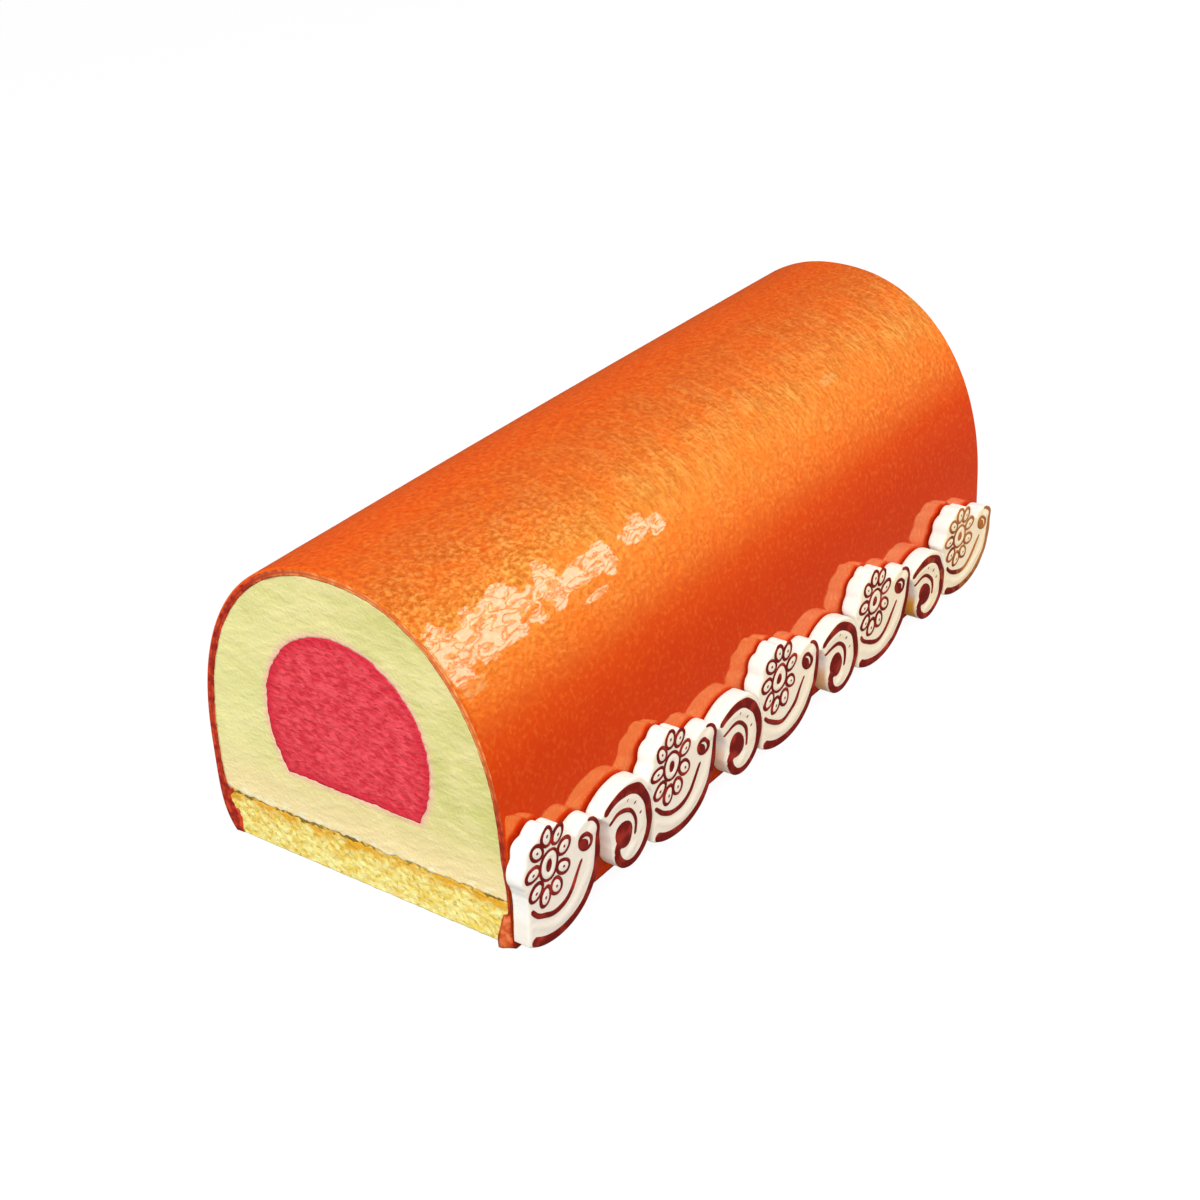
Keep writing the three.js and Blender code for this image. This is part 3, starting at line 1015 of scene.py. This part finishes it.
def wrinkle_tree(inputs):
    """Sags and wrinkles of a poured skin. They only go inwards, so the coat keeps its size."""
    tree, given = new_tree("poured_wrinkles", inputs)
    place = add(tree, "GeometryNodeInputPosition")
    round_loaf, along_loaf, sag_scale = (
        add(tree, "ShaderNodeMath", {"operation": "DIVIDE", 0: 1.0, 1: given[size]})
        for size in ("Wrinkle Length", "Wrinkle Spacing", "Sag Size")
    )
    scales = add(tree, "ShaderNodeCombineXYZ", {0: round_loaf, 1: along_loaf, 2: round_loaf})
    stretched = add(tree, "ShaderNodeVectorMath", {"operation": "MULTIPLY", 0: place, 1: scales})
    wrinkles, sags = (
        add(tree, "ShaderNodeTexNoise", {
            "noise_dimensions": "4D",
            "Vector": vector,
            "W": given["Seed"],
            "Scale": scale,
            "Detail": 1,
        })
        for vector, scale in ((stretched, 1.0), (place, sag_scale))
    )
    deep, sunk = given["Wrinkle Depth"], given["Sag Depth"]
    wrinkle_fall = add(tree, "ShaderNodeMath", {"operation": "MULTIPLY", 0: wrinkles, 1: deep})
    fall = add(tree, "ShaderNodeMath", {"operation": "MULTIPLY_ADD", 0: sags, 1: sunk, 2: wrinkle_fall})
    poured = add(tree, "GeometryNodeInputNamedAttribute", {"data_type": "FLOAT", "Name": "poured"})
    inwards = add(tree, "ShaderNodeMath", {"operation": "MULTIPLY", 0: fall, 1: poured})
    negative = add(tree, "ShaderNodeMath", {"operation": "MULTIPLY", 0: inwards, 1: -1.0})
    normal = add(tree, "GeometryNodeInputNormal")
    offset = add(tree, "ShaderNodeVectorMath", {"operation": "SCALE", 0: normal, "Scale": negative})
    moved = add(tree, "GeometryNodeSetPosition", {"Geometry": given["Geometry"], "Offset": offset})
    outer = add(tree, "GeometryNodeInputNamedAttribute", {"data_type": "BOOLEAN", "Name": "outer"})
    return finish_tree(tree, moved, {"Selection": outer, "Material": given["Material"]})


def fruit_outline(y):
    """The fruit centre's outline, a little ragged where the two mousses met."""
    arch = arch_points(FRUIT_ARCH, FRUIT_ARCH["floor"])
    floor = resampled([arch[-1], arch[0]], 120)[1:-1]
    ring = by_angle(np.concatenate([arch, floor]), MOUSSE_CENTRE, ROUND)
    away = ring - np.array(MOUSSE_CENTRE)
    away /= np.linalg.norm(away, axis=1)[:, None]
    points = at_depth(ring, y * 0.1)
    ragged = 0.28 * uneven(points, 1.6, 11) + 0.25 * uneven(points, 6, 12)
    return ring + away * ragged[:, None]


def to_fruit_edge(points):
    """How far each point lies from the fruit centre's drawn outline."""
    arch = arch_points(FRUIT_ARCH, FRUIT_ARCH["floor"])
    ring = np.concatenate([arch, resampled([arch[-1], arch[0]], 120)])[::4]
    return np.min(np.linalg.norm(points[:, None, [0, 2]] - ring[None], axis=2), axis=1)


def mousse_outline(y):
    """The mousse's outer outline, with an uneven foot on the sponge."""
    arch = core_points(y, MOUSSE_FOOT)
    across = np.linspace(arch[-1, 0], arch[0, 0], 200)[1:-1]
    foot = np.stack([across, crumb_line(across, y, MOUSSE_FOOT, FOOT_SEED)], axis=1)
    return by_angle(np.concatenate([arch, foot]), MOUSSE_CENTRE, ROUND)


def mousse_body(material):
    """The pale mousse round the fruit centre."""
    def recess(points):
        # The knife's strokes slant by 28 degrees, and draw out the unevenness along them.
        drag = points @ np.array([[0.88, 0, -0.47], [0, 1, 0], [0.47, 0, 0.88]]) * (0.3, 1, 1)
        return 0.3 + 0.14 * uneven(drag, 1.3, 31) + 0.16 * uneven(points, 9, 32)

    def hollow(section, y):
        return fruit_outline(y)

    piece = cut_piece("mousse_body", mousse_outline, hollow, recess, material, 34, 26, hollow=True)
    set_weight(piece.data, "tinted", rise(to_fruit_edge(cake_points(piece)), 1.65, 0.15))
    return piece


def fruit_core(material):
    """The fruit centre, its cut faces a little grainy."""
    def recess(points):
        return 0.28 + 0.14 * uneven(points, 1.3, 41) + 0.12 * uneven(points, 7, 42)

    line = on_line(7, MOUSSE_CENTRE[1])
    piece = cut_piece("fruit_core", fruit_outline, line, recess, material, 34, 26)
    set_weight(piece.data, "rim", rise(to_fruit_edge(cake_points(piece)), 2.88, 0.48))
    return piece


def cake_points(piece):
    """A piece's points in the cake's own coordinates."""
    return points_of(piece.data) / MM - (MIDDLE, FRONT, 0)


def sponge_hollows(points):
    """How deep the crumb's holes are at each point, 0 to 1: a few large ones among many small ones."""
    depth = []
    for point in points:
        place = Vector(point)
        large = noise.voronoi(place / 2.6)[0][0]
        small = noise.voronoi(place / 1.2 + Vector((9, 0, 4)))[0][0]
        depth.append(max(0, 1 - large / 0.34) * 0.9 + max(0, 1 - small / 0.5) * 0.5)
    return np.clip(depth, 0, 1) * rise(points[:, 2], 0, 1.2)


def sponge_outline(y):
    """The sponge's outline: a flat foot, walls against the glaze and an uneven top under the crust."""
    walls = core_points(y, 0)
    low = walls[walls[:, 1] < SPONGE_TOP]
    right, left = low[low[:, 0] > 0], low[low[:, 0] < 0]
    across = np.linspace(right[-1, 0], left[0, 0], 260)
    top = np.stack([across, crumb_line(across, y, SPONGE_TOP, SPONGE_SEED)], axis=1)
    floor = resampled([left[-1], right[0]], 200)
    return resampled(np.concatenate([right, top, left, floor]), 560)


def sponge_slab(material):
    """The sponge, its crumb torn into holes at the cuts."""
    def recess(points):
        return 0.3 + 0.14 * uneven(points, 1.6, 61) + 0.6 * sponge_hollows(points)

    line = on_line(33, SPONGE_TOP / 2)
    piece = cut_piece("sponge_slab", sponge_outline, line, recess, material, 19, 42)
    x, y, height = cake_points(piece).T
    # A cut face's own points, read where its unevenness was read, so that the painted shade falls in its
    # holes.
    flat = np.stack([x, np.where(y > LENGTH / 2, FAR_NOISE, 0.0), height], axis=1)
    at_cut = np.minimum(y, LENGTH - y) < 2.5
    set_weight(piece.data, "hollow", sponge_hollows(flat) * at_cut * 0.75)
    golden = 1 - (SPONGE_TOP - 0.6 - height) / 2.4 + 0.9 * uneven(flat, 3.5, 63)
    set_weight(piece.data, "golden", np.clip(golden, 0, 1))
    return piece


def crust_and_shade_sheet(material):
    """The sponge's baked skin, between the crumb and the mousse, a little behind each cut; its dark colour is
    partly painted shade of that gap.
    """
    set_back = 0.5
    overlap = 0.2
    columns = 260

    def outline(y):
        walls = core_points(y, SPONGE_TOP)
        reach = np.linspace(walls[0, 0], walls[-1, 0], columns)
        low = crumb_line(reach, y, SPONGE_TOP, SPONGE_SEED) - overlap
        high = np.maximum(crumb_line(reach, y, MOUSSE_FOOT, FOOT_SEED) + overlap, low + overlap)
        edges = [np.stack([reach, edge], axis=1) for edge in (low, high)]
        return np.concatenate([edges[0], edges[1][::-1]])

    def half_way(section, y):
        middle = (section[:columns] + section[columns:][::-1]) / 2
        return np.concatenate([middle, middle[::-1]])

    def recess(points):
        return set_back + 0.5 * uneven(points, 2.4, 71)

    return cut_piece("sponge_crust", outline, half_way, recess, material, 3, 34)


# ---- Plaque outlines, in their own plane ----


def scallops(start, end):
    """The daisy's scalloped edge between two angles round its middle."""
    angle = np.linspace(start, end, 110)
    bump = np.abs(np.cos(PETALS / 2 * (angle - PETAL_TURN)))
    reach = 1 - SCALLOP_DEPTH * (1 - bump)
    return np.stack([
        FLOWER["s"] + FLOWER["half_wide"] * reach * np.cos(angle),
        FLOWER["h"] + FLOWER["half_high"] * reach * np.sin(angle),
    ], axis=1)


def arc(centre, radius, start, end, count=24):
    angle = np.linspace(start, end, count)
    return np.stack([centre[0] + radius * np.cos(angle), centre[1] + radius * np.sin(angle)], axis=1)


def leaf_edge():
    """The flower plaque's lower edge, from the leaf's left end up to the bud's side."""
    return bezier(
        (0, LEAF_TIP),
        (0.24 * LEAF_RIGHT, -1.8),
        (LEAF_RIGHT, -3.1),
        (LEAF_RIGHT, BUD["h"] - 2),
        40,
    )


def flower_outline():
    bud = arc((BUD["s"], BUD["h"]), BUD["radius"], -0.1, 2.5, 40)
    corner = [(0, FLOWER["h"] - 4.5)]
    return np.concatenate([leaf_edge(), bud, scallops(0.62, 3.4), corner])


def scroll_edges():
    """The scroll's left side down to its curl, its round underside, and its back over the top."""
    width, tip, shoulder = SCROLL["width"], SCROLL["tip"], SCROLL["shoulder"]
    curl, low = SCROLL["curl"], SCROLL["curl_height"]
    turn = (1.3 * curl, 0.7 * tip)
    side = bezier((0, tip), (turn[0] * 2 / 3, (tip + 2 * turn[1]) / 3),
                  ((curl + 2 * turn[0]) / 3, (low + 2 * turn[1]) / 3), (curl, low), 16)
    under = bezier((curl, low), (1.4 * curl, -0.58 * low), (width, -0.2 * low), (width, shoulder), 40)
    over = bezier((width, shoulder), (width, 2.6 * shoulder), (0.28 * width, 2.5 * shoulder), (0, tip), 40)
    return side, under, over


def scroll_outline():
    return np.concatenate(scroll_edges())


def inset(line, distance):
    """A line moved to its left by a distance."""
    ahead = np.gradient(line, axis=0)
    ahead /= np.linalg.norm(ahead, axis=1)[:, None]
    return line + distance * np.stack([-ahead[:, 1], ahead[:, 0]], axis=1)


# ---- Plaque parts, made flat in metres: x is s, y is h and z is out of the plaque ----


def flat_point(point, out=0):
    return (point[0] * MM, point[1] * MM, out * MM)


def slab(name, outline):
    """The white body: a rounded slab with its flat face RELIEF behind the plaque's front plane."""
    curve = bpy.data.curves.new(name, "CURVE")
    curve.dimensions = "2D"
    curve.fill_mode = "BOTH"
    spline = curve.splines.new("POLY")
    spline.points.add(len(outline) - 1)
    for point, place in zip(spline.points, outline):
        point.co = (*flat_point(place), 1)
    spline.use_cyclic_u = True
    thickness = PLAQUE_THICKNESS - RELIEF
    curve.bevel_depth = PLAQUE_EDGE * MM
    curve.bevel_resolution = 3
    curve.offset = -PLAQUE_EDGE * MM
    curve.extrude = (thickness / 2 - PLAQUE_EDGE) * MM
    made = new_object(name, curve)
    mesh = evaluated(made)
    bpy.data.objects.remove(made)
    mesh.transform(Matrix.Translation((0, 0, -(RELIEF + thickness / 2) * MM)))
    return new_object(name, mesh)


def pebble(name, centre, half, turn=0, out=-RELIEF, material=None):
    """A smooth low mound: half gives its half length, half width and height."""
    work = bmesh.new()
    bmesh.ops.create_uvsphere(work, u_segments=20, v_segments=12, radius=1)
    mesh = bpy.data.meshes.new(name)
    work.to_mesh(mesh)
    work.free()
    shape = Matrix.Diagonal((*[side * MM for side in half], 1))
    place = Matrix.Translation(flat_point(centre, out))
    mesh.transform(place @ Matrix.Rotation(turn, 4, "Z") @ shape)
    return new_object(name, mesh, material)


def line_tree():
    """A piped line along a drawn path: a low half-round bead, whose half width each point gives."""
    tree, given = new_tree("piped_line", {
        "Facets": 12,
        "Flatness": 0.4,
        "Material": "NodeSocketMaterial",
    })
    path = add(tree, "GeometryNodeMeshToCurve", {"Mesh": given["Geometry"]})
    upright = add(tree, "GeometryNodeSetCurveNormal", {"mode": "Z_UP", "Curve": path})
    circle = add(tree, "GeometryNodeCurvePrimitiveCircle", {"Resolution": given["Facets"], "Radius": 1.0})
    shape = add(tree, "ShaderNodeCombineXYZ", {0: 1.0, 1: given["Flatness"], 2: 1.0})
    bead = add(tree, "GeometryNodeTransform", {"Geometry": circle, "Scale": shape})
    reach = add(tree, "GeometryNodeInputNamedAttribute", {"data_type": "FLOAT", "Name": "reach"})
    piped = add(tree, "GeometryNodeCurveToMesh", {
        "Curve": upright,
        "Profile Curve": bead,
        "Scale": reach,
        "Fill Caps": True,
    })
    smooth = add(tree, "GeometryNodeSetShadeSmooth", {"Geometry": piped})
    return finish_tree(tree, smooth, {"Material": given["Material"]})


def piped(name, path, widths, tree, material, flatness, closed=False):
    """A bead along a path, its full width given at even steps from its start to its end."""
    step = 0.4
    count = max(16, int(np.linalg.norm(np.diff(path, axis=0), axis=1).sum() / step))
    line = resampled(path, count)
    share = np.linspace(0, 1, count)
    reach = np.interp(share, np.linspace(0, 1, len(widths)), np.array(widths) / 2)
    edges = [(i, i + 1) for i in range(count - 1)]
    if closed:
        line, reach = line[:-1], reach[:-1]
        edges[-1] = (count - 2, 0)
    else:
        # An open bead is drawn out round at its two ends.
        run = share * step * count
        to_end = np.minimum(run, run[-1] - run) / np.maximum(reach, 0.1)
        reach = reach * np.sqrt(np.clip(1 - (1 - np.clip(to_end, 0.04, 1)) ** 2, 0.01, 1))
    piece = meshed(name, [flat_point(point, -RELIEF) for point in line], edges)
    set_weight(piece.data, "reach", reach * MM)
    return run_tree(piece, tree, {"Flatness": flatness, "Material": material})


def ring_tree():
    """Sets one shape on each of a ring of points, turned to point away from the ring's middle."""
    tree, given = new_tree("petal_ring", {
        "Petals": 9,
        "Half Wide": 0.005,
        "Half High": 0.007,
        "Turn": 0.0,
        "Petal": "NodeSocketObject",
        "Material": "NodeSocketMaterial",
    })
    circle = add(tree, "GeometryNodeMeshCircle", {"Vertices": given["Petals"], "Radius": 1.0})
    turn = add(tree, "ShaderNodeCombineXYZ", {2: given["Turn"]})
    turned = add(tree, "GeometryNodeTransform", {"Geometry": circle, "Rotation": turn})
    size = add(tree, "ShaderNodeCombineXYZ", {0: given["Half Wide"], 1: given["Half High"], 2: 1.0})
    ring = add(tree, "GeometryNodeTransform", {"Geometry": turned, "Scale": size})
    place = add(tree, "GeometryNodeInputPosition")
    away = add(tree, "FunctionNodeAlignRotationToVector", {"axis": "X", "pivot_axis": "Z", "Vector": place})
    petal = add(tree, "GeometryNodeObjectInfo", {"Object": given["Petal"], "As Instance": True})
    petals = add(tree, "GeometryNodeInstanceOnPoints", {
        "Points": ring,
        "Instance": petal.outputs["Geometry"],
        "Rotation": away,
    })
    return finish_tree(tree, petals, {"Material": given["Material"]})


def ring_of(name, petal, tree, material):
    """Copies of a petal's shape round the daisy's middle."""
    ring = meshed(name, [])
    run_tree(ring, tree, {
        "Petals": PETALS,
        "Half Wide": PETAL_REACH[0] * MM,
        "Half High": PETAL_REACH[1] * MM,
        "Turn": PETAL_TURN,
        "Petal": petal,
        "Material": material,
    })
    ring.data.transform(Matrix.Translation(flat_point(DAISY)))
    bpy.data.objects.remove(petal)
    return ring


def joined(name, parts):
    """One object from several, in the order given."""
    with bpy.context.temp_override(active_object=parts[0], selected_editable_objects=parts):
        bpy.ops.object.join()
    parts[0].name = name
    return parts[0]


def moulded(name, parts):
    """Parts melted into one cast body, with the soft inner corners that a mould gives."""
    body = joined(name, parts)
    remesh = body.modifiers.new("cast", "REMESH")
    remesh.mode = "VOXEL"
    remesh.voxel_size = 0.32 * MM
    remesh.use_smooth_shade = True
    soften = body.modifiers.new("soften", "SMOOTH")
    soften.factor = 0.5
    soften.iterations = 3
    keep_result(body)
    return body


def oval(half, turn=0):
    """A closed line round an oval, from its half length and half width."""
    cos, sin = math.cos(turn), math.sin(turn)
    return arc((0, 0), 1, 0, 2 * math.pi, 40) * half @ np.array([[cos, sin], [-sin, cos]])


def flower_parts(line, ring, white, maroon):
    """The flower plaque's white body, its maroon line work and its outline."""
    edge = np.concatenate([leaf_edge(), arc((BUD["s"], BUD["h"]), BUD["radius"], -0.1, 1.5)])
    outer_path = inset(edge, np.linspace(1.4, 0.4, len(edge))[:, None])
    vein_path = through(((0.7, 12.4), (4.5, 8.8), (9.5, 7.2), (14, 9.3), (18.3, 15)))
    rib_path = through(((0.5, 8.6), (6, 4.9), (11, 4.1), (16, 6), (20.3, 10.6), (21.6, 15)))
    petal = pebble("petal", (0, 0), (PETAL_HALF[0] - 0.1, PETAL_HALF[1] - 0.1, 0.28))
    body = moulded("flower_body", [
        slab("flower_slab", flower_outline()),
        ring_of("petals", petal, ring, white),
        piped("eye_ring", oval((1.8, 2.4)) + DAISY, (1.3, 1.3), line, white, 0.42, closed=True),
        piped("leaf_rib", rib_path, (1.4, 2.8, 1.6), line, white, 0.2),
        pebble("bud_cap", (21.7, 20.2), (1.8, 1.5, 0.3), -0.6),
    ])
    petal_line = piped("petal_line", oval(PETAL_HALF), (0.95, 0.95), line, maroon, 0.55, closed=True)
    petal_dot = pebble("petal_dot", (0.1, 0), (0.5, 0.42, 0.14), out=-0.12)
    bud_path = oval((2.35, 1.65), BUD_TURN) + PAINTED_BUD
    lines = joined("flower_lines", [
        piped("leaf_line", outer_path, (2.3, 2.1, 1.9, 1.6, 0.9), line, maroon, 0.25),
        piped("vein_line", vein_path, (1.1, 1.4, 1.4, 1.3, 0.8), line, maroon, 0.4),
        piped("eye_line", oval(EYE_HALF) + DAISY, (0.8, 0.8), line, maroon, 0.6, closed=True),
        ring_of("petal_lines", petal_line, ring, maroon),
        ring_of("petal_dots", petal_dot, ring, maroon),
        pebble("eye", DAISY, (1.05, 1.5, 0.3), material=maroon),
        piped("bud_line", bud_path, (1.1, 1.1), line, maroon, 0.5, closed=True),
        pebble("bud", PAINTED_BUD - (0.8, 0.3), (1.9, 1.35, 0.3), BUD_TURN, material=maroon),
    ])
    return body, lines, flower_outline()


def scroll_parts(line, white, maroon):
    """The scroll plaque's white body, its maroon line work and its outline."""
    outer_path = through((
        (1.2, 18.4), (3.6, 19.7), (7, 20.5), (10, 20.2), (12.9, 18.7), (15.2, 16.1), (16.8, 12.8),
        (17.4, 9.4), (17.0, 5.9), (15.3, 2.9), (12.6, 1.1), (10, 0.9), (7.6, 2.0), (6.0, 4.1), (5.3, 6.8),
    ))
    curl_path = through(((2.4, 15.2), (6.5, 16.1), (9.3, 15.2), (11.4, 13), (12.2, 10), (12.1, 7.2)))
    rib_path = through(((2.6, 17.6), (8, 18.5), (12.6, 16.2), (14.5, 12), (14.4, 7)))
    body = moulded("scroll_body", [
        slab("scroll_slab", scroll_outline()),
        piped("scroll_rib", rib_path, (1.2, 2.2, 2.4, 2.0), line, white, 0.2),
        pebble("curl_rise", (10.4, 4.0), (2.2, 1.4, 0.28), 0.5),
    ])
    dots = [
        pebble(f"dot_{i}", place, (0.6, 0.35, 0.25), 0.9, material=maroon)
        for i, place in enumerate(((9.2, 18.0), (12.2, 15.7), (13.9, 12.2)))
    ]
    lines = joined("scroll_lines", [
        piped("scroll_line", outer_path, (1.7, 2.7, 2.6, 2.3, 1.9, 1.8, 2.4), line, maroon, 0.22),
        piped("curl_line", curl_path, (0.8, 1.2, 1.1, 0.8), line, maroon, 0.45),
        pebble("curl_head", (8.0, 9.5), (3.8, 2.9, 0.3), -1.15, material=maroon),
        pebble("curl_neck", (6.2, 7.8), (2.3, 1.5, 0.28), 0.9, material=maroon),
        *dots,
    ])
    return body, lines, scroll_outline()


def by_hand(mesh, along):
    """Bends a flat part a little, in its own plane, and differently for each plaque."""
    co = points_of(mesh)
    flat = np.stack([co[:, 0] / MM, co[:, 1] / MM, np.full(len(co), along)], axis=1)
    for axis, seed in ((0, 81), (1, 82)):
        co[:, axis] += rise(flat[:, 1], 2, 7) * HAND_BEND * MM * uneven(flat, 4.5, seed)
    mesh.vertices.foreach_set("co", co.ravel())


def paint_foot_glow(mesh, along):
    """Marks where a plaque's foot, on its near side, gets a painted golden glow of light thrown by the glaze:
    more so towards the far end.
    """
    s, h, out = points_of(mesh).T / MM
    glowing = rise(s, 7.5, 5.5) * rise(h, 12, 8) * rise(out, -RELIEF, -RELIEF - 1)
    set_weight(mesh, "foot_glow", glowing * np.clip(along / 150, 0.15, 1))


def stand_up(template, name, outline, height, along, lift, material):
    """A copy of a flat part, stood in its place in the frieze and made a little uneven by hand."""
    mesh = template.data.copy()
    mesh.name = name
    foot = outline[:, 1].min() * MM
    slant = PLAQUE_SLANT + MORE_SLANT * along / FRIEZE_PITCH
    stood = Matrix((
        (0, 0, 1, FRIEZE_FRONT * MM),
        (1, slant, 0, 0),
        (0, 1, 0, 0),
        (0, 0, 0, 1),
    ))
    drop = Matrix.Diagonal((1, height, 1, 1)) @ Matrix.Translation((0, -foot, 0))
    place = Matrix.Translation((MIDDLE * MM, (FRONT + along) * MM, lift * MM))
    by_hand(mesh, along)
    paint_foot_glow(mesh, along)
    mesh.transform(place @ stood @ drop)
    mesh.materials.clear()
    mesh.polygons.foreach_set("material_index", [0] * len(mesh.polygons))
    return new_object(name, mesh, material)


def frieze(white, maroon):
    """Nine plaques, flowers and scrolls by turns, each a white cast and its maroon lines."""
    line, ring = line_tree(), ring_tree()
    flower = flower_parts(line, ring, white, maroon)
    scroll = scroll_parts(line, white, maroon)
    kinds = (
        ("flower", flower, FLOWER_HEIGHTS, 0, [0] * len(FLOWER_HEIGHTS)),
        ("scroll", scroll, SCROLL_HEIGHTS, SCROLL_OFFSET, SCROLL_LIFTS),
    )
    pieces = []
    for kind, (body, lines, outline), heights, offset, lifts in kinds:
        for i, (height, lift) in enumerate(zip(heights, lifts)):
            along = FRIEZE_START + FRIEZE_PITCH * i + offset
            cast = stand_up(body, f"{kind}_cast_{i + 1}", outline, height, along, lift, white)
            inlay = stand_up(lines, f"{kind}_lines_{i + 1}", outline, height, along, lift, maroon)
            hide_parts(f"{kind}_plaque_{i + 1}")
            pieces += [cast, inlay]
        bpy.data.objects.remove(body)
        bpy.data.objects.remove(lines)
    return pieces


# ---- The cake ----


def loaf():
    """The glaze and what it covers, each hiding the CAD node it stands for. The crust has no node of its own.
    """
    made = (
        (glaze_shell(pearl_glaze(), glaze_cut()), "glaze_coat", "glaze"),
        (mousse_body(pale_mousse()), "mousse_loaf", "mousse"),
        (fruit_core(fruit_mousse()), "fruit_centre", "fruit"),
        (sponge_slab(sponge_crumb()), "sponge_base", "sponge"),
        (crust_and_shade_sheet(sponge_crust()), None, "sponge"),
    )
    for piece, node, slot in made:
        if node:
            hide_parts(node)
    return [piece for piece, node, slot in made]


set_camera()
set_lights()
set_floor()
for piece in [*loaf(), *frieze(white_chocolate(), maroon_colour())]:
    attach(piece, "root")
